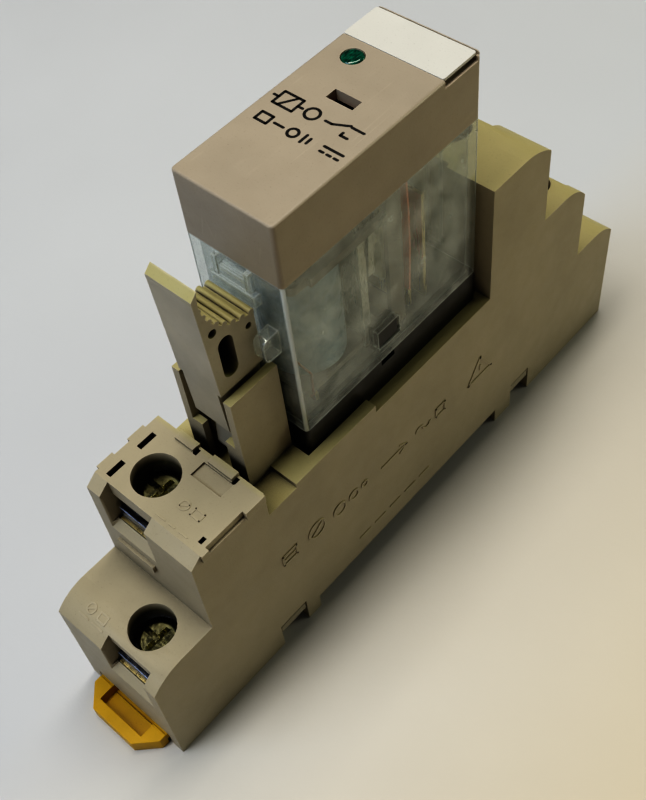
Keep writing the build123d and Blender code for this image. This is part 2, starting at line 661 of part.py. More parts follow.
def make_relay_case():
    """Clear case: deep shell, narrower neck inside the cap, guide lugs."""
    neck_x = RELAY_X - CASE_WALL
    neck_y = RELAY_Y - CASE_WALL
    shell = block(-RELAY_X, RELAY_X, -RELAY_Y, RELAY_Y, CASE_Z, CAP_Z - 0.04)
    shell = fillet(shell.edges().filter_by(Axis.Z), CASE_CORNER)
    shell += block(-neck_x, neck_x, -neck_y, neck_y, CAP_Z - 1, NECK_TOP)
    shell -= block(-neck_x, neck_x, -neck_y, neck_y, CASE_Z - 1, CAP_Z - 0.8)
    shell -= block(-neck_x + 0.7, neck_x - 0.7, -neck_y + 0.7, neck_y - 0.7, CAP_Z - 2, NECK_TOP - 0.7)
    shell -= upright(LENS_X, LENS_Y, NECK_TOP - 2, NECK_TOP + 1, LENS_RADIUS + 0.3)
    shell -= block(*FLAG_OPENING, NECK_TOP - 2, NECK_TOP + 1)
    for side in (-1, 1):
        x0, x1 = span(side * 5, side * 7)
        shell -= block(x0, x1, *LUG_WINDOW)
        # Guide lugs beside the lever, with a rounded nose.
        x0, x1 = span(side * 3.3, side * 4.7)
        nose, lug0, lug1 = GUIDE_LUG
        lug = block(x0, x1, nose, -RELAY_Y + 0.2, lug0, lug1)
        lug = fillet(lug.edges().filter_by(Axis.X).group_by(Axis.Y)[0], GUIDE_LUG_NOSE)
        shell += lug
        # Frame beside the latching slot.
        x0, x1 = span(side * 1.8, side * 2.4)
        shell += block(x0, x1, -15.1, -RELAY_Y + 0.2, 48.2, 52.0)
    shell -= block(-1.8, 1.8, -16, -12, *CATCH_SLOT)
    shell += block(-3.0, 3.0, -15.3, -RELAY_Y + 0.2, 48.1, 49.5)
    shell += block(-2.2, 2.2, -14.9, -RELAY_Y + 0.2, 49.4, 50.7)
    # Guide rib that runs in the tower's groove.
    shell += block(-GUIDE_RIB_HALF, GUIDE_RIB_HALF, RELAY_Y - 0.1, RELAY_Y + 0.55, *GUIDE_RIB_Z)
    return shell


def make_relay_cap():
    cap = block(-RELAY_X, RELAY_X, -RELAY_Y, RELAY_Y, CAP_Z, TOP_Z)
    cap = fillet(cap.edges().filter_by(Axis.Z), CASE_CORNER)
    cap = fillet(cap.edges().group_by(Axis.Z)[-1], CASE_CORNER / 2)
    inner_x = RELAY_X - CAP_WALL
    inner_y = RELAY_Y - CAP_WALL
    cap -= block(-inner_x, inner_x, -inner_y, inner_y, CAP_Z - 1, TOP_Z - CAP_ROOF)
    cap -= upright(LENS_X, LENS_Y, TOP_Z - 3, TOP_Z + 1, LENS_RADIUS + FIT)
    cap -= block(*FLAG_WINDOW, TOP_Z - 3, TOP_Z + 1)
    # Pocket for the label plate, with a finger slit on the +X side.
    label0, label1 = LABEL_Y
    cap -= block(-7, 7, label0 - 0.1, label1 + 0.1, TOP_Z - LABEL_THICK - 0.02, TOP_Z + 1)
    cap -= block(5.0, 7, label0 - 0.1, label1 - 0.15, TOP_Z - 0.9, TOP_Z)
    return cap


def make_nameplate():
    plate = block(-RELAY_X, RELAY_X - 0.3, *LABEL_Y, TOP_Z - LABEL_THICK, TOP_Z)
    return fillet(plate.edges().filter_by(Axis.Z), 0.3)


def make_led_lens():
    stem = upright(LENS_X, LENS_Y, 56.5, TOP_Z + 0.1, LENS_RADIUS)
    stem = fillet(stem.edges().group_by(Axis.Z)[-1], 0.35)
    return stem + upright(LENS_X, LENS_Y, NECK_TOP + 0.1, NECK_TOP + 0.6, LENS_FLANGE)


def make_led_board():
    return block(*BOARD) - block(*BOARD_OPENING, 54, 56)


def make_board_parts():
    """Indicator diode, series resistor and protection diode on the board."""
    seat = BOARD[5] + 0.02
    led = block(LENS_X - 1.0, LENS_X + 1.0, LENS_Y - 0.8, LENS_Y + 0.8, seat, seat + 0.68)
    resistor = block(-3.6, -1.6, -5.6, -4.2, seat, seat + 0.58)
    diode = block(1.2, 3.8, -9.2, -7.4, seat, seat + 0.78)
    return Compound([led, resistor, diode])


# ---------------------------------------------------------------- relay coil and magnet
def make_bobbin():
    bottom, top = YOKE_FOOT + YOKE_THICK + 0.05, POLE_FACE - 1.0
    bobbin = upright(0, COIL_Y, bottom, top, CORE_RADIUS + 0.85)
    flange_y0, flange_y1 = COIL_Y - 4.9, -YOKE_THICK + YOKE_BACK - 0.15
    for z0, z1 in ((bottom, bottom + 0.9), (top - 1.1, top)):
        flange = block(-4.7, 4.7, flange_y0, flange_y1, z0, z1)
        bobbin += fillet(flange.edges().filter_by(Axis.Z), 0.8)
    # Side rails and the cheeks between which the card slides.
    for side in (-1, 1):
        x0, x1 = span(side * CHEEK_X[0], side * CHEEK_X[1])
        bobbin += block(x0, x1, -10.0, CHEEK_Y[1], top - 1.1, top)
        bobbin += block(x0, x1, *CHEEK_Y, bottom - 0.9, CHEEK_TOP)
    outer = CHEEK_X[1]
    bobbin += block(-outer, outer, CHEEK_Y[0] + 0.2, CHEEK_Y[1], bottom - 0.9, bottom + 0.9)
    return bobbin - upright(0, COIL_Y, bottom - 1, top + 1, CORE_RADIUS + 0.02)


def make_winding():
    bottom, top = YOKE_FOOT + YOKE_THICK + 1.0, POLE_FACE - 2.15
    ring = upright(0, COIL_Y, bottom, top, WINDING_RADIUS)
    return ring - upright(0, COIL_Y, bottom - 1, top + 1, CORE_RADIUS + 0.87)


def make_coil_tape():
    bottom, top = YOKE_FOOT + YOKE_THICK + 1.2, POLE_FACE - 2.3
    ring = upright(0, COIL_Y, bottom, top, TAPE_RADIUS)
    return ring - upright(0, COIL_Y, bottom - 1, top + 1, WINDING_RADIUS + 0.02)


def make_core():
    """Riveted core with a wide pole head."""
    core = upright(0, COIL_Y, YOKE_FOOT, POLE_FACE, CORE_RADIUS)
    return core + upright(0, COIL_Y, POLE_FACE - POLE_THICK, POLE_FACE, POLE_RADIUS)


def make_yoke():
    inner = YOKE_BACK - YOKE_THICK
    half = YOKE_FOOT_HALF_X
    yoke = block(-YOKE_HALF_X, YOKE_HALF_X, inner, YOKE_BACK, YOKE_FOOT, HINGE_Z)
    yoke += block(-half, half, COIL_Y - 3.1, inner + 0.1, YOKE_FOOT, YOKE_FOOT + YOKE_THICK)
    return yoke - upright(0, COIL_Y, YOKE_FOOT - 1, YOKE_FOOT + 3, CORE_RADIUS + 0.02)


def make_armature():
    """L-shaped armature, drawn closed on the pole and then swung open."""
    half = ARMATURE_HALF_X
    under = POLE_FACE + 0.15
    top = under + ARMATURE_THICK
    armature = block(-half, half, -11.8, ARMATURE_THICK / 2, under, top)
    armature += block(-half, half, -ARMATURE_THICK / 2, ARMATURE_THICK / 2, 41.0, top)
    armature -= block(-ARMATURE_NOTCH, ARMATURE_NOTCH, -1, 1, 40.0, 47.6)
    armature = fillet(armature.edges().filter_by(Axis.X).group_by(Axis.Z)[-1].sort_by(Axis.Y)[-1], 0.6)
    return armature.rotate(Axis((0, HINGE_Y, HINGE_Z), (1, 0, 0)), -ARMATURE_SWING)


def make_hinge_spring():
    """Leaf that swings the armature back off the pole."""
    return ribbon(HINGE_SPRING, 0.16, -1.2, 1.2)


# ---------------------------------------------------------------- relay contacts
def make_card():
    """Insulating card: armature pushes its back, its arms push the spring."""
    y0, y1 = CARD_Y
    card = block(-CARD_HALF_X, CARD_HALF_X, y0, y1, *CARD_Z)
    for side in (-1, 1):
        x0, x1 = span(side * CARD_ARM_X[0], side * CARD_ARM_X[1])
        card += block(x0, x1, CARD_BACK, y0 + 0.1, CARD_PUSH_Z - 0.5, CARD_PUSH_Z + 0.5)
        card += block(x0, x1, y1 - 0.1, CARD_FRONT, CARD_PUSH_Z - 0.5, CARD_PUSH_Z + 0.5)
    return card


def make_flag():
    flag = block(-0.3, 0.9, 1.05, 1.75, 49.22, 57.9)
    return flag + block(-1.2, 1.85, 0.6, 2.5, 57.7, 58.2)


def make_moving_spring():
    """Bowed contact leaf, wide below and narrow at the contact."""
    bottom, top = SPRING_ROOT_Z + 0.15, CONTACT_Z + 1.6
    middle = (bottom + top) / 2
    faces = []
    for y in (SPRING_Y + LEAF_HALF, SPRING_Y - LEAF_HALF):
        faces.append(ThreePointArc((y - LEAF_BOW, bottom), (y, middle), (y - LEAF_BOW, top)))
    outer, inner = faces
    ends = Line(outer @ 0, inner @ 0).edges() + Line(outer @ 1, inner @ 1).edges()
    leaf = side_prism(outer.edges() + inner.edges() + ends, -4.4, 4.4)
    for side in (-1, 1):
        x0, x1 = span(side * 1.9, side * 6)
        leaf -= block(x0, x1, 3, 8, 49.6, 54)
    return leaf - lengthwise(0, CONTACT_Z, 3, 8, RIVET_RADIUS + 0.02)


def make_moving_contacts():
    """Rivet with a contact button on each side of the leaf."""
    pair = lengthwise(0, CONTACT_Z, MOVING_FACE_NC, 4.86, CONTACT_RADIUS)
    pair += lengthwise(0, CONTACT_Z, 5.37, MOVING_FACE_NO, CONTACT_RADIUS)
    return pair + lengthwise(0, CONTACT_Z, MOVING_FACE_NC, MOVING_FACE_NO, RIVET_RADIUS)


def blade(t, top=BLADE_TOP):
    """Flat blade that plugs into a socket clip."""
    x0, x1 = t.blade_x - BLADE_WIDTH / 2, t.blade_x + BLADE_WIDTH / 2
    y0, y1 = t.blade_y - BLADE_THICK / 2, t.blade_y + BLADE_THICK / 2
    flat = block(x0, x1, y0, y1, BLADE_TIP, top)
    return chamfer(flat.edges().filter_by(Axis.Y).group_by(Axis.Z)[0], 0.5)


def make_com_terminal(t):
    """Blade with a tab that carries the moving leaf."""
    tab_y = SPRING_Y - 0.6
    tab = block(-4.4, 4.4, tab_y, tab_y + BLADE_THICK, TERMINAL_FOOT, SPRING_ROOT_Z + 0.05)
    tab += block(-4.4, -1.0, tab_y, t.blade_y + BLADE_THICK / 2, TERMINAL_FOOT, TERMINAL_FOOT + 0.5)
    return tab + blade(t)


def make_no_terminal(t):
    """Blade with an arm that carries the make contact."""
    y0, y1 = t.blade_y - BLADE_THICK / 2, t.blade_y + BLADE_THICK / 2
    arm = block(-1.7, 4.5, y0, y1, TERMINAL_FOOT, 46.0)
    arm += block(-1.7, 1.7, y0, y1, 45.0, CONTACT_Z + 1.7)
    return arm + blade(t)


def make_nc_terminal(t):
    """Blade with an arm over the leaf that carries the break contact."""
    y0, y1 = t.blade_y - BLADE_THICK / 2, t.blade_y + BLADE_THICK / 2
    top = CONTACT_Z + 2.9
    arm = block(-4.4, -1.2, y0, y1, TERMINAL_FOOT, top)
    arm += block(-4.4, 1.7, 3.1, y1, top - 0.5, top)
    arm += block(-1.7, 1.7, 3.1, 3.6, CONTACT_Z - 1.6, top)
    return arm + blade(t)


def make_fixed_contact(y0, y1):
    return lengthwise(0, CONTACT_Z, y0, y1, CONTACT_RADIUS)


def make_coil_leads():
    """Fine wires from the winding down to the coil blades."""
    wires = []
    for side in (-1, 1):
        points = [(side * 4.95, -11.6, 31.6), (side * 5.05, -11.6, 36.0), (side * 2.4, -11.35, 36.0)]
        wire = lead_run((side * 4.3, -11.45, 31.6), points[0])
        for a, b in zip(points, points[1:]):
            wire += lead_run(a, b)
        wires.append(wire)
    return Compound(wires)


def lead_run(a, b, radius=0.14):
    """Round wire between two points, with a ball at its end."""
    run = Vector(*b) - Vector(*a)
    plane = Plane(origin=a, z_dir=run)
    return extrude(plane * Circle(radius), run.length) + Pos(*b) * Sphere(radius)


# ---------------------------------------------------------------- write the parts
def build():
    coil_a, coil_b, nc, no, com = TERMINALS
    parts = {
        "socket_housing": make_housing(),
        "rear_cover": make_rear_cover(),
        "rail_latch": make_rail_latch(),
        "latch_spring": make_latch_spring(),
        "release_lever": make_lever(),
        "relay_base": make_relay_base(),
        "relay_case": make_relay_case(),
        "relay_cap": make_relay_cap(),
        "nameplate": make_nameplate(),
        "led_lens": make_led_lens(),
        "led_board": make_led_board(),
        "board_parts": make_board_parts(),
        "coil_bobbin": make_bobbin(),
        "coil_winding": make_winding(),
        "coil_tape": make_coil_tape(),
        "core": make_core(),
        "yoke": make_yoke(),
        "armature": make_armature(),
        "hinge_spring": make_hinge_spring(),
        "actuator_card": make_card(),
        "indicator_flag": make_flag(),
        "moving_spring": make_moving_spring(),
        "moving_contacts": make_moving_contacts(),
        "com_terminal": make_com_terminal(com),
        "no_terminal": make_no_terminal(no),
        "nc_terminal": make_nc_terminal(nc),
        "no_contact": make_fixed_contact(NO_FACE, no.blade_y - BLADE_THICK / 2),
        "nc_contact": make_fixed_contact(NC_SEAT, MOVING_FACE_NC - 0.02),
        "coil_terminal_a": blade(coil_a, BLADE_TOP - 0.1),
        "coil_terminal_b": blade(coil_b, BLADE_TOP - 0.1),
        "coil_leads": make_coil_leads(),
    }
    for t in TERMINALS:
        parts[f"strip_{t.name}"] = make_strip(t)
        parts[f"clamp_{t.name}"] = make_clamp(t)
        parts[f"screw_{t.name}"] = make_screw(t)
    return parts


if __name__ == "__main__":
    for name, part in build().items():
        export_step(part, f"parts/{name}.step")
        print(name, len(part.solids()), round(part.volume, 1))
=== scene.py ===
import math

import bmesh
import bpy
from mathutils import Matrix, Vector


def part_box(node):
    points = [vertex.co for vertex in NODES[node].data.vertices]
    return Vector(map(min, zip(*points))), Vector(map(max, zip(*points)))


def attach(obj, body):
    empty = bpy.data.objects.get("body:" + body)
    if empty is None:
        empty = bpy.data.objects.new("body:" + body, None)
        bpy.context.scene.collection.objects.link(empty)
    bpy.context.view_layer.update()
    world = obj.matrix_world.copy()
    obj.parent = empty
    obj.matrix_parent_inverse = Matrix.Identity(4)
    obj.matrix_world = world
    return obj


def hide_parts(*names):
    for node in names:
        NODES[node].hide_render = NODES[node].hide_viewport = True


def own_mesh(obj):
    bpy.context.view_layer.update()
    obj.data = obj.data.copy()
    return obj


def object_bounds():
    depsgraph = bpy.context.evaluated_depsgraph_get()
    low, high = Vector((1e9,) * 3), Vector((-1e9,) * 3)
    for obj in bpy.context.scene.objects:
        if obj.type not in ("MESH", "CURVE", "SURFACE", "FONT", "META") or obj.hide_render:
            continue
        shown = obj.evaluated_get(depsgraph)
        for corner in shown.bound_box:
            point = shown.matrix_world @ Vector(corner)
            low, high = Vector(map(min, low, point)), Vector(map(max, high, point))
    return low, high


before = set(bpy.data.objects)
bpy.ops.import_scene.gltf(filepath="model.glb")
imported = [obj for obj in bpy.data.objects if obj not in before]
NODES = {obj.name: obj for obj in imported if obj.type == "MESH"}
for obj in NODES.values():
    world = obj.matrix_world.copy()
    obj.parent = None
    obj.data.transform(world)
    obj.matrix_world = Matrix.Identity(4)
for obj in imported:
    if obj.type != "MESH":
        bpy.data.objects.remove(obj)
cad_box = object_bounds()

MM = 0.001
TERMINALS = ("coil_a", "coil_b", "nc", "no", "com")

# Lengths here are in millimetres unless the note says metres. First, each group's edge rounding.
HOUSING_EDGE = 0.16
SHELL_EDGE = 0.14
METAL_EDGE = 0.07
FINE_EDGE = 0.04

# The socket's +X face, the upper near tier, and the lower tier's crown: start, top and radius.
SOCKET_SIDE = 7.9
UPPER_TIER = 29.8
NEAR_CROWN = (-38.2, 16.0, 6.0625)

# Depth of a screw's head below the tier's top, and how far a well reaches round the head. Both place the
# painted shade inside the screw wells.
WELL_DEPTH = 3.1
WELL_ROOM = 0.45

# How wide edges get rubbing and a painted highlight, how far into slots the painted shade reaches, and the
# ramp along Y of the painted warm top light.
RUB_AND_HIGHLIGHT_RADIUS = 0.22
METAL_RUB_AND_HIGHLIGHT_RADIUS = 0.08
CASE_EDGE = 0.45
SHADE_REACH = 5
TOP_LIGHT_RAMP = 1
TIER_TOP_LIGHT_START = -23.5
LEVER_TOP_LIGHT_START = -60

# The milky streak down each corner of the case starts and ends this far inside its faces.
CORNER_IN = 0.5
CORNER_OUT = 0.25

WIRE_PITCH = 0.2

# How far each group of marks stands out.
PRINT_HEIGHT = 0.012
SIDE_HEIGHT = 0.1
TIER_HEIGHT = 0.07
SEAM_HEIGHT = 0.06

# The floor's half size and the X range over which a painted warm light spreads on it, in metres.
FLOOR_HALF = 1.6
WARM_LIGHT_FROM_TO = (-0.01, 0.07)

# The camera's place, aim, roll in degrees and lens.
CAMERA_AT = (59.95, -59.05, 129.06)
CAMERA_AIM = (6.4, -11.7, 32.7)
CAMERA_ROLL = -8.44
CAMERA_LENS = 52.0

# Colours, as sRGB values from 0 to 255.
SOCKET_TAN = (167, 157, 136)
COVER_TAN = (156, 148, 130)
CAP_TAN = (163, 152, 136)
LEVER_TAN = (171, 163, 146)
# Painted light: the warm yellow of the top light on faces that look up.
TOP_LIGHT_YELLOW = (176, 168, 112)
# Painted shade: the dark brown laid into slots, pockets and screw wells.
PAINTED_SHADE_BROWN = (26, 24, 18)
LATCH_YELLOW = (190, 150, 10)
BASE_BLACK = (30, 29, 28)
LABEL_WHITE = (200, 198, 192)
PRINT_BLACK = (20, 19, 18)
LENS_GREEN = (8, 74, 58)
TAPE_BLUE = (150, 166, 182)
CARD_CREAM = (214, 208, 178)
BOBBIN_BROWN = (112, 98, 86)
LEAF_COPPER = (242, 146, 108)
LEAF_TARNISH = (224, 128, 96)
WINDING_COPPER = (176, 96, 44)
BOARD_GREEN = (34, 92, 62)
EPOXY_BLACK = (38, 38, 40)
FLAG_ORANGE = (120, 60, 42)
CASE_HAZE = (206, 210, 206)
YOKE_STEEL = (196, 192, 180)
SPRING_STEEL = (206, 206, 200)
STEEL_TARNISH = (120, 108, 84)
CONTACT_SILVER = (220, 218, 210)
TERMINAL_BRASS = (206, 186, 130)
CLAMP_STEEL = (150, 156, 176)
# Painted shade: the dark patches on the clamps, which sit in the dark wire entries.
CLAMP_SHADE = (40, 38, 34)
SCREW_STEEL = (196, 192, 150)
SCREW_TARNISH = (90, 84, 52)
FLOOR_PALE = (196, 197, 200)
# Painted warm light: the floor's colour towards +X.
FLOOR_WARM_LIGHT = (212, 199, 174)

# What the clear case lets through, as a linear colour.
CASE_TINT = (0.95, 0.97, 0.96, 1)


# ---------------------------------------------------------------- small helpers
def linear(colour):
    """An sRGB colour of 0 to 255 as a linear RGBA value."""
    out = []
    for channel in colour:
        c = channel / 255
        out.append(c / 12.92 if c <= 0.04045 else ((c + 0.055) / 1.055) ** 2.4)
    return (*out, 1.0)


def scaled(colour, factor):
    """A colour made lighter or darker."""
    return tuple(min(255, channel * factor) for channel in colour)


class Tree:
    """A new material's node tree, with short calls for the nodes used here."""

    def __init__(self, name):
        self.material = bpy.data.materials.new(name)
        self.material.use_nodes = True
        self.nodes = self.material.node_tree.nodes
        self.links = self.material.node_tree.links
        self.shader = self.nodes["Principled BSDF"]
        self.output = self.nodes["Material Output"]
        coordinates = self.nodes.new("ShaderNodeTexCoord")
        self.place = coordinates.outputs["Object"]
        self.facing = coordinates.outputs["Normal"]

    def add(self, kind, **settings):
        node = self.nodes.new(kind)
        for key, value in settings.items():
            setattr(node, key, value)
        return node

    def join(self, source, target):
        self.links.new(source, target)

    def noise(self, scale, detail=3.0, rough=0.55, stretch=(1, 1, 1)):
        """Noise with features about 1/scale metres across."""
        mapping = self.add("ShaderNodeMapping")
        mapping.inputs["Scale"].default_value = stretch
        self.join(self.place, mapping.inputs["Vector"])
        node = self.add("ShaderNodeTexNoise")
        node.inputs["Scale"].default_value = scale
        node.inputs["Detail"].default_value = detail
        node.inputs["Roughness"].default_value = rough
        self.join(mapping.outputs["Vector"], node.inputs["Vector"])
        return node.outputs["Fac"]

    def remap(self, source, low, high, to_low, to_high):
        node = self.add("ShaderNodeMapRange", clamp=True)
        for name, value in (("From Min", low), ("From Max", high), ("To Min", to_low), ("To Max", to_high)):
            node.inputs[name].default_value = value
        self.join(source, node.inputs["Value"])
        return node.outputs["Result"]

    def math(self, kind, a, b=0.0):
        node = self.add("ShaderNodeMath", operation=kind)
        for socket, value in ((node.inputs[0], a), (node.inputs[1], b)):
            if isinstance(value, (int, float)):
                socket.default_value = value
            else:
                self.join(value, socket)
        return node.outputs[0]

    def blend(self, share, a, b):
        """A colour from a to b, by share."""
        node = self.add("ShaderNodeMix", data_type="RGBA")
        if isinstance(share, (int, float)):
            node.inputs["Factor"].default_value = share
        else:
            self.join(share, node.inputs["Factor"])
        for socket, value in ((node.inputs[6], a), (node.inputs[7], b)):
            if isinstance(value, tuple):
                socket.default_value = value
            else:
                self.join(value, socket)
        return node.outputs[2]

    def scratches(self, scale, width, tilt=0.6):
        """Fine crossing lines: 1 on a scratch and 0 beside it."""
        lines = None
        for turn in (tilt, tilt + 1.9):
            mapping = self.add("ShaderNodeMapping")
            mapping.inputs["Rotation"].default_value = (0.2, 0.3, turn)
            mapping.inputs["Scale"].default_value = (1, 0.03, 0.12)
            self.join(self.place, mapping.inputs["Vector"])
            node = self.add("ShaderNodeTexVoronoi", feature="DISTANCE_TO_EDGE")
            node.inputs["Scale"].default_value = scale
            self.join(mapping.outputs["Vector"], node.inputs["Vector"])
            line = self.remap(node.outputs["Distance"], 0.0, width, 1.0, 0.0)
            lines = line if lines is None else self.math("MAXIMUM", lines, line)
        patches = self.remap(self.noise(scale * 0.8, 1.0), 0.52, 0.66, 0.0, 1.0)
        return self.math("MULTIPLY", lines, patches)

    def bump(self, height, distance):
        node = self.add("ShaderNodeBump")
        node.inputs["Distance"].default_value = distance
        self.join(height, node.inputs["Height"])
        return node.outputs["Normal"]

    def edge_band(self, radius):
        """1 where an edge is within the radius, and 0 on flat ground."""
        soft = self.add("ShaderNodeBevel", samples=4)
        soft.inputs["Radius"].default_value = radius
        hard = self.add("ShaderNodeNewGeometry")
        dot = self.add("ShaderNodeVectorMath", operation="DOT_PRODUCT")
        self.join(soft.outputs["Normal"], dot.inputs[0])
        self.join(hard.outputs["Normal"], dot.inputs[1])
        return self.remap(dot.outputs["Value"], 0.995, 0.8, 0.0, 1.0)

    def wells(self, drops):
        """1 inside each upright round well: the mask for painted shade there. Each drop is x, y, rim height
        and radius.
        """
        spot = self.add("ShaderNodeSeparateXYZ")
        self.join(self.place, spot.inputs["Vector"])
        inside = None
        for x, y, rim, radius in drops:
            across = self.math("SUBTRACT", spot.outputs["X"], x)
            along = self.math("SUBTRACT", spot.outputs["Y"], y)
            squares = self.math("ADD", self.math("POWER", across, 2.0), self.math("POWER", along, 2.0))
            near = self.remap(self.math("SQRT", squares), radius, radius + 0.05 * MM, 1.0, 0.0)
            depth = self.remap(spot.outputs["Z"], rim - 1.6 * MM, rim - 0.1 * MM, 1.0, 0.0)
            well = self.math("MULTIPLY", near, depth)
            inside = well if inside is None else self.math("MAXIMUM", inside, well)
        return inside

    def hollow_shade(self, reach):
        """Ambient occlusion as a mask for painted shade: 1 far inside wells, slots and pockets, and 0 on
        open faces.
        """
        node = self.add("ShaderNodeAmbientOcclusion", samples=6, only_local=True)
        node.inputs["Distance"].default_value = reach
        return self.remap(node.outputs["AO"], 0.62, 0.22, 0.0, 1.0)


# ---------------------------------------------------------------- materials
def moulded_plastic(
    name,
    colour,
    rough=0.52,
    bump=0.012,
    wear_and_highlight=0.35,
    mottle=0.07,
    scratch=0.0,
    top_light_tint=None,
    painted_shade=0.0,
    wells=(),
):
    """Spark-eroded moulding: fine grain, slow colour drift, edges lightened by rubbing and a painted
    highlight, light scratches, and painted shade in recesses.

    The top tint is a painted warm top light: its colour, the share of it on faces that look up, and the Y
    where it starts. It is a tenth as strong before that Y. bump is in millimetres. The shade amount paints
    shade into slots, and into the round wells that the well list gives.
    """
    t = Tree(name)
    drift = t.remap(t.noise(90, 4.0), 0.3, 0.7, 0.0, 1.0)
    ground = t.blend(drift, linear(scaled(colour, 1 - mottle)), linear(scaled(colour, 1 + mottle)))
    # Painted warm top light: faces that look up turn yellow, ten times more strongly beyond a given Y.
    if top_light_tint:
        axes = t.add("ShaderNodeSeparateXYZ")
        t.join(t.facing, axes.inputs["Vector"])
        tint, share, start = top_light_tint
        top_light_share = t.remap(axes.outputs["Z"], 0.15, 0.75, 0.0, share)
        spot = t.add("ShaderNodeSeparateXYZ")
        t.join(t.place, spot.inputs["Vector"])
        beyond = t.remap(spot.outputs["Y"], start, start + TOP_LIGHT_RAMP * MM, 0.1, 1.0)
        ground = t.blend(t.math("MULTIPLY", top_light_share, beyond), ground, linear(tint))
    speck = t.remap(t.noise(5200, 2.0), 0.62, 0.78, 0.0, 0.35)
    ground = t.blend(speck, ground, linear(scaled(colour, 0.72)))
    # Painted highlight and rubbing: edges lightened, in patches.
    patches = t.remap(t.noise(700, 3.0), 0.35, 0.65, 0.3, 1.0)
    rubbed_and_highlit = t.math("MULTIPLY", t.edge_band(RUB_AND_HIGHLIGHT_RADIUS * MM), patches)
    ground = t.blend(t.math("MULTIPLY", rubbed_and_highlit, wear_and_highlight), ground, linear(scaled(colour, 1.28)))
    grain = t.noise(4200, 3.0, 0.6)
    height = grain
    roughness = t.remap(t.noise(420, 4.0), 0.3, 0.7, rough - 0.08, rough + 0.08)
    if scratch:
        marks = t.math("MULTIPLY", t.scratches(260, 0.012), scratch)
        ground = t.blend(marks, ground, linear(scaled(colour, 1.25)))
        height = t.math("SUBTRACT", grain, marks)
    # Painted shade: slots, pockets and the listed screw wells are darkened towards brown, by ambient
    # occlusion and the well masks.
    if painted_shade:
        deep = t.hollow_shade(SHADE_REACH * MM)
        if wells:
            deep = t.math("MAXIMUM", deep, t.wells(wells))
        ground = t.blend(t.math("MULTIPLY", deep, painted_shade), ground, linear(PAINTED_SHADE_BROWN))
    t.join(ground, t.shader.inputs["Base Color"])
    t.join(roughness, t.shader.inputs["Roughness"])
    t.join(t.bump(height, bump * MM), t.shader.inputs["Normal"])
    t.shader.inputs["Specular IOR Level"].default_value = 0.42
    return t.material


def plated_metal(
    name,
    colour,
    rough=0.26,
    brushed=(1, 1, 1),
    tarnish_and_shade=STEEL_TARNISH,
    amount=0.35,
    metallic=1.0,
):
    """Plated or bare metal with drawn grain, dull patches of tarnish, and edges made bright by rubbing and
    a painted highlight. On the clamps the dull patches are painted shade.
    """
    t = Tree(name)
    # Dull patches: tarnish, and on the clamps painted shade.
    patches = t.remap(t.noise(900, 5.0), 0.42, 0.72, 0.0, amount)
    ground = t.blend(patches, linear(colour), linear(tarnish_and_shade))
    # Painted highlight and rubbing: edges made brighter.
    edges = t.math("MULTIPLY", t.edge_band(METAL_RUB_AND_HIGHLIGHT_RADIUS * MM), 0.5)
    ground = t.blend(edges, ground, linear(scaled(colour, 1.2)))
    t.join(ground, t.shader.inputs["Base Color"])
    grain = t.noise(3000, 4.0, 0.6, brushed)
    t.join(t.remap(grain, 0.3, 0.7, rough - 0.09, rough + 0.14), t.shader.inputs["Roughness"])
    t.join(t.bump(grain, 0.004 * MM), t.shader.inputs["Normal"])
    t.shader.inputs["Metallic"].default_value = metallic
    return t.material


def clear_plastic(name, tint, haze, haze_colour, side, end):
    """Thin clear moulding: light goes straight through, with gloss, dust, scuffs and milky corners.

    side and end are the half width and half length at which the case's upright corners stand.
    """
    t = Tree(name)
    see_through = t.add("ShaderNodeBsdfTransparent")
    see_through.inputs["Color"].default_value = tint
    slant = t.add("ShaderNodeLayerWeight")
    slant.inputs["Blend"].default_value = 0.5
    glancing = t.math("POWER", slant.outputs["Facing"], 5.0)
    gloss = t.math("ADD", t.math("MULTIPLY", glancing, 0.9), 0.045)
    dust = t.remap(t.noise(260, 6.0, 0.65), 0.4, 0.75, haze * 0.4, haze * 1.6)
    scuffs = t.math("MULTIPLY", t.scratches(120, 0.012, 0.4), 0.12)
    veil = t.math("ADD", dust, scuffs)
    edges = t.math("MULTIPLY", t.edge_band(CASE_EDGE * MM), 0.6)
    veil = t.math("MAXIMUM", veil, edges)
    axes = t.add("ShaderNodeSeparateXYZ")
    t.join(t.place, axes.inputs["Vector"])
    inner, outer = CORNER_IN * MM, CORNER_OUT * MM
    in_x = t.remap(t.math("ABSOLUTE", axes.outputs["X"]), side - inner, side - outer, 0.0, 1.0)
    in_y = t.remap(t.math("ABSOLUTE", axes.outputs["Y"]), end - inner, end - outer, 0.0, 1.0)
    corner = t.math("MULTIPLY", t.math("MINIMUM", in_x, in_y), 0.8)
    veil = t.math("MAXIMUM", veil, corner)
    share = t.math("MINIMUM", t.math("ADD", gloss, veil), 1.0)
    mix = t.add("ShaderNodeMixShader")
    t.join(share, mix.inputs["Fac"])
    t.join(see_through.outputs["BSDF"], mix.inputs[1])
    t.join(t.shader.outputs["BSDF"], mix.inputs[2])
    t.join(mix.outputs["Shader"], t.output.inputs["Surface"])
    t.join(t.math("DIVIDE", gloss, share), t.shader.inputs["Metallic"])
    milky_colour = t.blend(dust, linear(haze_colour), linear(scaled(haze_colour, 1.15)))
    t.join(milky_colour, t.shader.inputs["Base Color"])
    t.join(t.remap(t.noise(900, 3.0), 0.3, 0.7, 0.05, 0.2), t.shader.inputs["Roughness"])
    t.join(t.bump(t.noise(160, 2.0), 0.02 * MM), t.shader.inputs["Normal"])
    t.shader.inputs["Specular IOR Level"].default_value = 0.9
    return t.material


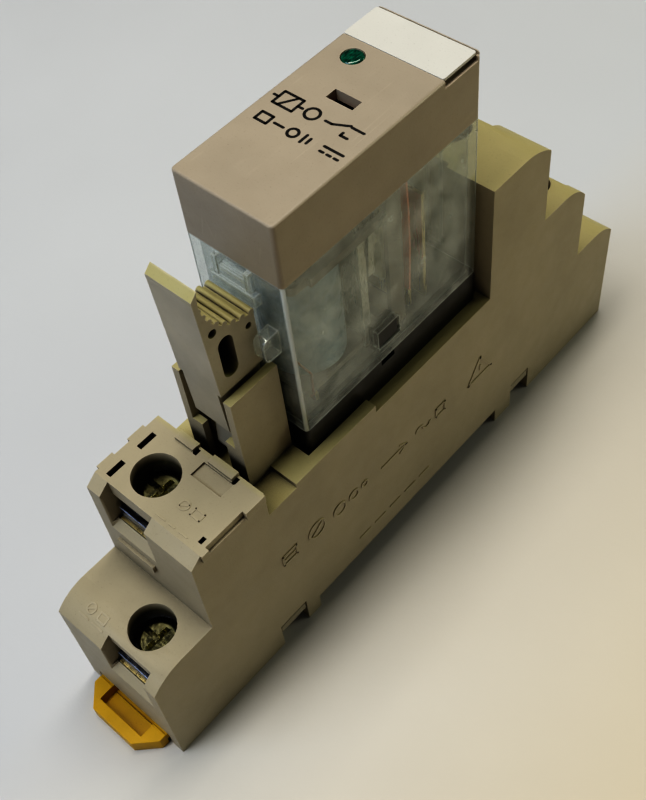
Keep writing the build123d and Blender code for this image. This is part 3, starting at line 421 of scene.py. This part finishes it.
def lens_plastic(name, colour):
    """Deep green indicator lens with a bright rim and streaks inside."""
    t = Tree(name)
    depth = t.remap(t.noise(1400, 3.0, 0.5, (3, 1, 1)), 0.35, 0.7, 0.0, 1.0)
    ground = t.blend(depth, linear(scaled(colour, 0.5)), linear(scaled(colour, 1.5)))
    t.join(ground, t.shader.inputs["Base Color"])
    t.join(t.remap(t.noise(2400), 0.3, 0.7, 0.04, 0.12), t.shader.inputs["Roughness"])
    t.join(t.bump(t.noise(1500, 2.0), 0.02 * MM), t.shader.inputs["Normal"])
    t.shader.inputs["Coat Weight"].default_value = 0.8
    return t.material


def tape_film(name, colour):
    """Glossy insulating film, wound tight and slightly wrinkled over the coil."""
    t = Tree(name)
    drift = t.remap(t.noise(320, 4.0), 0.3, 0.7, 0.0, 1.0)
    ground = t.blend(drift, linear(scaled(colour, 0.86)), linear(scaled(colour, 1.1)))
    t.join(ground, t.shader.inputs["Base Color"])
    t.join(t.remap(t.noise(700, 3.0), 0.3, 0.7, 0.22, 0.42), t.shader.inputs["Roughness"])
    wrinkles = t.noise(900, 3.0, 0.5, (1, 1, 0.15))
    t.join(t.bump(wrinkles, 0.05 * MM), t.shader.inputs["Normal"])
    t.shader.inputs["Coat Weight"].default_value = 0.4
    return t.material


def fine_wire(name, colour):
    """Layer of enamelled wire: one ridge per turn."""
    t = Tree(name)
    turns = t.add("ShaderNodeTexWave", wave_type="BANDS", bands_direction="Z")
    turns.inputs["Scale"].default_value = 1 / (WIRE_PITCH * MM) / (2 * math.pi)
    turns.inputs["Distortion"].default_value = 0.2
    t.join(t.place, turns.inputs["Vector"])
    # The darker part of each turn is painted shade in the groove between turns.
    ground = t.blend(turns.outputs["Fac"], linear(scaled(colour, 0.55)), linear(colour))
    t.join(ground, t.shader.inputs["Base Color"])
    t.join(t.remap(t.noise(900), 0.3, 0.7, 0.25, 0.4), t.shader.inputs["Roughness"])
    t.join(t.bump(turns.outputs["Fac"], 0.06 * MM), t.shader.inputs["Normal"])
    t.shader.inputs["Metallic"].default_value = 0.7
    return t.material


def floor_paper(name, colour):
    """Matt pale table top, with a painted warm light towards +X."""
    t = Tree(name)
    drift = t.remap(t.noise(9, 4.0), 0.3, 0.7, 0.0, 1.0)
    ground = t.blend(drift, linear(scaled(colour, 0.985)), linear(scaled(colour, 1.01)))
    # Painted warm light: the floor turns warm towards +X.
    axes = t.add("ShaderNodeSeparateXYZ")
    t.join(t.place, axes.inputs["Vector"])
    warm_light_share = t.remap(axes.outputs["X"], *WARM_LIGHT_FROM_TO, 0.0, 1.0)
    ground = t.blend(warm_light_share, ground, linear(FLOOR_WARM_LIGHT))
    t.join(ground, t.shader.inputs["Base Color"])
    t.join(t.remap(t.noise(120), 0.3, 0.7, 0.6, 0.75), t.shader.inputs["Roughness"])
    t.join(t.bump(t.noise(3000), 0.01 * MM), t.shader.inputs["Normal"])
    t.shader.inputs["Specular IOR Level"].default_value = 0.25
    return t.material


def screw_wells():
    """The screwdriver wells' places, rim heights and radii, each a little wider than the screw's head, for
    the painted shade inside them.
    """
    drops = []
    for name in TERMINALS:
        low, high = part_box("screw_" + name)
        middle = (low + high) / 2
        radius = (high.x - low.x) / 2 + WELL_ROOM * MM
        drops.append((middle.x, middle.y, high.z + WELL_DEPTH * MM, radius))
    return drops


def make_materials():
    cap_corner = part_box("relay_cap")[1]
    return {
        "socket": moulded_plastic(
            "socket_plastic",
            SOCKET_TAN,
            0.55,
            0.014,
            0.3,
            0.03,
            # Painted warm top light on the faces that look up.
            top_light_tint=(TOP_LIGHT_YELLOW, 0.6, TIER_TOP_LIGHT_START * MM),
            # Painted shade in slots and screw wells.
            painted_shade=0.95,
            wells=screw_wells(),
        ),
        "cover": moulded_plastic("cover_plastic", COVER_TAN, 0.58, 0.014, 0.25),
        "cap": moulded_plastic("cap_plastic", CAP_TAN, 0.46, 0.012, 0.5, 0.03, 0.15),
        "lever": moulded_plastic(
            "lever_plastic",
            LEVER_TAN,
            0.5,
            0.012,
            0.5,
            # Painted warm top light on the faces that look up.
            top_light_tint=(TOP_LIGHT_YELLOW, 0.75, LEVER_TOP_LIGHT_START * MM),
            # Painted shade in slots and pockets.
            painted_shade=0.95,
        ),
        "latch": moulded_plastic("latch_yellow", LATCH_YELLOW, 0.42, 0.008, 0.2, 0.08),
        "base": moulded_plastic("base_black", BASE_BLACK, 0.38, 0.006, 0.25),
        "label": moulded_plastic("label_white", LABEL_WHITE, 0.5, 0.003, 0.0, 0.012),
        "print": moulded_plastic("print_black", PRINT_BLACK, 0.42, 0.003, 0.0, 0.1),
        "board": moulded_plastic("board_green", BOARD_GREEN, 0.3, 0.004, 0.0),
        "epoxy": moulded_plastic("epoxy_black", EPOXY_BLACK, 0.4, 0.006, 0.2),
        "bobbin": moulded_plastic("bobbin_plastic", BOBBIN_BROWN, 0.45, 0.01, 0.2),
        "card": moulded_plastic("card_cream", CARD_CREAM, 0.4, 0.008, 0.2),
        "flag": moulded_plastic("flag_orange", FLAG_ORANGE, 0.5, 0.008, 0.2),
        "clear": clear_plastic(
            "clear_case", CASE_TINT, 0.25, CASE_HAZE, cap_corner.x, cap_corner.y
        ),
        "lens": lens_plastic("lens_green", LENS_GREEN),
        "tape": tape_film("coil_tape", TAPE_BLUE),
        "winding": fine_wire("winding_copper", WINDING_COPPER),
        "iron": plated_metal("yoke_steel", YOKE_STEEL, 0.3, (1, 1, 0.1)),
        "spring": plated_metal("spring_steel", SPRING_STEEL, 0.2, (1, 1, 0.05)),
        "leaf": plated_metal("leaf_copper", LEAF_COPPER, 0.55, (1, 1, 0.08), LEAF_TARNISH, 0.3, 0.1),
        "silver": plated_metal("contact_silver", CONTACT_SILVER, 0.22),
        "brass": plated_metal("terminal_brass", TERMINAL_BRASS, 0.3, (1, 1, 0.1)),
        # The clamps' dark patches are painted shade.
        "clamp": plated_metal("clamp_steel", CLAMP_STEEL, 0.2, (0.1, 1, 1), CLAMP_SHADE, 0.8),
        "screw": plated_metal("screw_steel", SCREW_STEEL, 0.13, (1, 1, 0.3), SCREW_TARNISH, 0.5),
    }


MATERIALS = make_materials()

# Which material each part takes and how far its edges are rounded.
FINISH = {
    "socket_housing": ("socket", HOUSING_EDGE),
    "rear_cover": ("cover", SHELL_EDGE),
    "latch_spring": ("latch", FINE_EDGE),
    "release_lever": ("lever", SHELL_EDGE),
    "rail_latch": ("latch", SHELL_EDGE),
    "relay_base": ("base", SHELL_EDGE),
    "relay_case": ("clear", METAL_EDGE),
    "relay_cap": ("cap", SHELL_EDGE),
    "nameplate": ("label", FINE_EDGE),
    "led_lens": ("lens", FINE_EDGE),
    "led_board": ("board", FINE_EDGE),
    "board_parts": ("epoxy", FINE_EDGE),
    "coil_bobbin": ("bobbin", METAL_EDGE),
    "coil_winding": ("winding", 0),
    "coil_tape": ("tape", 0),
    "coil_leads": ("winding", 0),
    "core": ("iron", METAL_EDGE),
    "yoke": ("iron", METAL_EDGE),
    "armature": ("iron", METAL_EDGE),
    "hinge_spring": ("spring", 0),
    "actuator_card": ("card", METAL_EDGE),
    "indicator_flag": ("flag", METAL_EDGE),
    "moving_spring": ("leaf", 0),
    "moving_contacts": ("silver", FINE_EDGE),
    "no_contact": ("silver", FINE_EDGE),
    "nc_contact": ("silver", FINE_EDGE),
    "com_terminal": ("brass", FINE_EDGE),
    "no_terminal": ("brass", FINE_EDGE),
    "nc_terminal": ("brass", FINE_EDGE),
    "coil_terminal_a": ("brass", FINE_EDGE),
    "coil_terminal_b": ("brass", FINE_EDGE),
}
for name in TERMINALS:
    FINISH["strip_" + name] = ("brass", FINE_EDGE)
    FINISH["clamp_" + name] = ("clamp", METAL_EDGE)
    FINISH["screw_" + name] = ("screw", METAL_EDGE)


def round_edges(piece, width):
    """Joins the flat facets, then rounds the sharp edges."""
    weld = piece.modifiers.new("weld", "WELD")
    weld.merge_threshold = 0.001 * MM
    flat = piece.modifiers.new("flat", "DECIMATE")
    flat.decimate_type = "DISSOLVE"
    flat.angle_limit = math.radians(0.6)
    bevel = piece.modifiers.new("bevel", "BEVEL")
    bevel.width = width * MM
    bevel.segments = 2
    bevel.limit_method = "ANGLE"
    bevel.angle_limit = math.radians(38)
    bevel.miter_outer = "MITER_ARC"
    bevel.harden_normals = True


def finish_cad_parts():
    for name, (material, width) in FINISH.items():
        piece = NODES[name]
        piece.data.materials.clear()
        piece.data.materials.append(MATERIALS[material])
        if width:
            round_edges(piece, width)


def folding_spring():
    """The latch's zigzag spring, copied into an object of its own on the socket, with the original part
    hidden.
    """
    flexure = NODES["latch_spring"]
    piece = bpy.data.objects.new("latch_flexure", flexure.data.copy())
    bpy.context.scene.collection.objects.link(piece)
    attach(piece, "socket")
    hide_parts("latch_spring")
    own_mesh(piece)


# ---------------------------------------------------------------- flat marks
def loops_to_piece(name, loops, place, depth, material, body):
    """Closed flat outlines raised by depth. place turns (u, v, height) into a point."""
    mesh = bpy.data.meshes.new(name)
    shape = bmesh.new()
    for loop in loops:
        low = [shape.verts.new(place(u, v, -depth * 0.5)) for u, v in loop]
        high = [shape.verts.new(place(u, v, depth)) for u, v in loop]
        count = len(loop)
        shape.faces.new(high)
        shape.faces.new(list(reversed(low)))
        for i in range(count):
            j = (i + 1) % count
            shape.faces.new((low[i], low[j], high[j], high[i]))
    bmesh.ops.recalc_face_normals(shape, faces=shape.faces)
    shape.to_mesh(mesh)
    shape.free()
    piece = bpy.data.objects.new(name, mesh)
    bpy.context.scene.collection.objects.link(piece)
    mesh.materials.append(MATERIALS[material])
    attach(piece, body)
    return piece


def bar(u0, v0, u1, v1, width):
    """A straight stroke with rounded ends."""
    along = Vector((u1 - u0, v1 - v0)).normalized()
    across = math.atan2(along.y, along.x) + math.pi / 2
    loop = []
    for end_u, end_v, start in ((u0, v0, across), (u1, v1, across - math.pi)):
        for i in range(7):
            angle = start + math.pi * i / 6
            loop.append((end_u + width / 2 * math.cos(angle), end_v + width / 2 * math.sin(angle)))
    return loop


def outline_box(u0, v0, u1, v1, width):
    """Four strokes round a rectangle."""
    corners = ((u0, v0), (u1, v0), (u1, v1), (u0, v1), (u0, v0))
    return [bar(*a, *b, width) for a, b in zip(corners, corners[1:])]


def arc_stroke(u, v, radius, start, stop, width, steps=24):
    """A curved stroke as one closed loop."""
    angles = [start + (stop - start) * i / steps for i in range(steps + 1)]
    far, near = radius + width / 2, radius - width / 2
    outer = [(u + far * math.cos(a), v + far * math.sin(a)) for a in angles]
    inner = [(u + near * math.cos(a), v + near * math.sin(a)) for a in angles]
    return outer + inner[::-1]


def ring(u, v, radius, width):
    """A closed circle as two half strokes."""
    return [
        arc_stroke(u, v, radius, 0, math.pi, width),
        arc_stroke(u, v, radius, math.pi, 2 * math.pi, width),
    ]


def cap_print():
    """Plain circuit symbols on the cap: a coil, a changeover contact and a supply mark."""
    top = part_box("relay_cap")[1].z
    pen = 0.3
    marks = outline_box(-4.9, -2.5, -2.5, -0.7, pen)
    marks.append(bar(-4.3, -2.5, -3.1, -0.7, pen))
    marks.append(bar(-5.5, -1.6, -4.9, -1.6, pen))
    marks.append(bar(-2.5, -1.6, -1.9, -1.6, pen))
    marks += ring(-0.7, -1.6, 0.75, pen)
    marks.append(bar(0.9, -1.6, 1.7, -1.6, pen))
    marks.append(bar(1.7, -1.6, 3.3, -0.8, pen))
    marks.append(bar(3.3, -2.3, 4.1, -2.3, pen))
    marks.append(bar(3.3, -2.3, 3.3, -1.9, pen))
    marks.append(bar(3.5, -0.9, 4.9, -0.9, pen))
    marks += outline_box(-4.7, -5.1, -3.3, -4.0, pen)
    marks.append(bar(-2.7, -4.55, -1.6, -4.55, pen))
    marks += ring(-0.4, -4.55, 0.55, pen)
    marks.append(bar(0.9, -5.1, 0.9, -4.0, pen))
    marks.append(bar(1.5, -4.9, 1.5, -4.2, pen))
    marks.append(bar(3.1, -4.2, 5.3, -4.2, pen))
    for i in range(3):
        marks.append(bar(3.15 + 0.85 * i, -4.9, 3.55 + 0.85 * i, -4.9, pen))

    def place(u, v, height):
        return (u * MM, v * MM, top + height)

    loops_to_piece("cap_print", marks, place, PRINT_HEIGHT * MM, "print", "relay")


def side_relief():
    """Raised generic marks on the +X side of the socket: boxes, rings, an arrow and a triangle."""
    face = SOCKET_SIDE * MM
    pen = 0.28
    marks = outline_box(-22.4, 13.9, -20.2, 15.7, pen)
    marks.append(bar(-22.0, 14.8, -20.6, 14.8, pen))
    marks += ring(-16.8, 14.5, 1.35, pen)
    marks.append(bar(-17.6, 13.9, -16.0, 15.1, pen))
    for y, radius in ((-12.9, 1.0), (-10.4, 0.75), (-8.5, 0.5)):
        marks += ring(y, 13.9, radius, pen)
    marks.append(bar(-5.4, 13.5, -0.8, 13.5, pen))
    marks.append(bar(-2.0, 14.3, -0.8, 13.5, pen))
    marks.append(bar(-2.0, 12.7, -0.8, 13.5, pen))
    marks.append(arc_stroke(1.7, 13.3, 0.65, 0, math.pi, pen))
    marks.append(arc_stroke(3.0, 13.3, 0.65, math.pi, 2 * math.pi, pen))
    marks += outline_box(4.9, 12.5, 6.6, 14.1, pen)
    corners = ((11.4, 11.9), (16.0, 11.9), (13.7, 15.6), (11.4, 11.9))
    for start, stop in zip(corners, corners[1:]):
        marks.append(bar(*start, *stop, pen + 0.08))
    marks.append(bar(13.7, 13.1, 13.7, 14.0, pen))
    for i in range(5):
        marks.append(bar(-10.2 + 2.9 * i, 3.4, -8.4 + 2.9 * i, 3.4, pen))

    def place(u, v, height):
        return (face + height, u * MM, v * MM)

    loops_to_piece("side_relief", marks, place, SIDE_HEIGHT * MM, "socket", "socket")


def tier_relief():
    """Raised generic marks beside the near screws, on the flat and over the rounded crown."""
    pen = 0.18
    low_marks = ring(-4.3, -40.3, 0.55, pen) + outline_box(-3.0, -40.8, -1.8, -39.9, pen)
    low_marks.append(bar(-4.7, -40.6, -3.9, -40.0, pen))
    low_marks += [bar(-5.4, -41.4, -3.9, -41.4, pen), bar(-3.3, -41.4, -1.6, -41.4, pen)]
    high_marks = ring(2.5, -28.9, 0.55, pen) + outline_box(3.7, -29.3, 5.0, -28.4, pen)
    high_marks += [bar(2.1, -29.2, 2.9, -28.6, pen), bar(0.9, -31.4, 2.2, -31.4, pen)]
    high_marks += [bar(2.8, -31.4, 3.6, -31.4, pen), bar(4.2, -31.4, 5.4, -31.4, pen)]
    crown_start, crown_top, crown_radius = NEAR_CROWN

    def on_crown(u, v, height):
        drop = crown_radius - math.sqrt(crown_radius**2 - min(0, v - crown_start) ** 2)
        return (u * MM, v * MM, (crown_top - drop) * MM + height)

    def on_tier(u, v, height):
        return (u * MM, v * MM, UPPER_TIER * MM + height)

    for name, marks, place in (
        ("tier_relief_low", low_marks, on_crown),
        ("tier_relief_high", high_marks, on_tier),
    ):
        loops_to_piece(name, marks, place, TIER_HEIGHT * MM, "socket", "socket")


def coil_tape_seam():
    """The free end of the tape, one layer up on the side that faces the lever and +X."""
    low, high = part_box("coil_tape")
    middle = (low + high) / 2
    radius = (high.x - low.x) / 2
    strip = 0.3
    foot = low.z + 0.2 * MM
    loops = []
    for i in range(8):
        u0, u1 = i * strip, (i + 1) * strip
        loops.append([(u0, foot), (u1, foot), (u1, high.z), (u0, high.z)])

    def place(u, v, height):
        angle = math.radians(-48) + u * MM / radius
        reach = radius + height
        return (middle.x + reach * math.cos(angle), middle.y + reach * math.sin(angle), v)

    loops_to_piece("coil_tape_seam", loops, place, SEAM_HEIGHT * MM, "tape", "relay")


# ---------------------------------------------------------------- stage
def make_floor():
    low = cad_box[0][2]
    half = FLOOR_HALF
    corners = [(-half, -half, low), (half, -half, low), (half, half, low), (-half, half, low)]
    mesh = bpy.data.meshes.new("floor")
    mesh.from_pydata(corners, [], [(0, 1, 2, 3)])
    floor = bpy.data.objects.new("floor", mesh)
    bpy.context.scene.collection.objects.link(floor)
    mesh.materials.append(floor_paper("floor_paper", FLOOR_PALE))


def area_light(name, place, aim, size, power, colour):
    data = bpy.data.lights.new(name, "AREA")
    data.shape = "RECTANGLE"
    data.size, data.size_y = size
    data.energy = power
    data.color = colour
    light = bpy.data.objects.new(name, data)
    light.location = place
    direction = Vector(aim) - Vector(place)
    light.rotation_euler = direction.to_track_quat("-Z", "Y").to_euler()
    bpy.context.scene.collection.objects.link(light)


def make_light():
    area_light("overhead", (-0.06, 0.00, 0.50), (-0.06, 0.00, 0), (0.12, 0.62), 1.66, (1.0, 0.96, 0.86))
    area_light("window", (-0.17, -0.38, 0.38), (0, 0, 0.03), (0.30, 0.30), 0.72, (0.66, 0.80, 1.0))
    area_light("warm_wall", (0.20, 0.30, 0.10), (0.01, 0.03, 0.02), (0.16, 0.12), 0.26, (0.96, 1.0, 0.78))
    world = bpy.data.worlds.new("room")
    bpy.context.scene.world = world
    world.use_nodes = True
    background = world.node_tree.nodes["Background"]
    background.inputs["Color"].default_value = (0.95, 0.97, 1.0, 1)
    background.inputs["Strength"].default_value = 0.05


def make_camera():
    position = Vector(CAMERA_AT) * MM
    aim = Vector(CAMERA_AIM) * MM
    roll = math.radians(CAMERA_ROLL)
    forward = (aim - position).normalized()
    level_right = forward.cross(Vector((0, 0, 1))).normalized()
    level_up = level_right.cross(forward)
    right = level_right * math.cos(roll) + level_up * math.sin(roll)
    up = right.cross(forward)
    data = bpy.data.cameras.new("camera")
    data.sensor_fit = "VERTICAL"
    data.sensor_height = 36
    data.lens = CAMERA_LENS
    data.clip_start = 1 * MM
    data.clip_end = 10
    camera = bpy.data.objects.new("camera", data)
    turn = Matrix((right, up, -forward)).transposed().to_4x4()
    camera.matrix_world = Matrix.Translation(position) @ turn
    bpy.context.scene.collection.objects.link(camera)
    bpy.context.scene.camera = camera


finish_cad_parts()
folding_spring()
cap_print()
side_relief()
tier_relief()
coil_tape_seam()
make_floor()
make_light()
make_camera()
bpy.context.scene.view_settings.view_transform = "Standard"
bpy.context.scene.view_settings.look = "Very High Contrast"
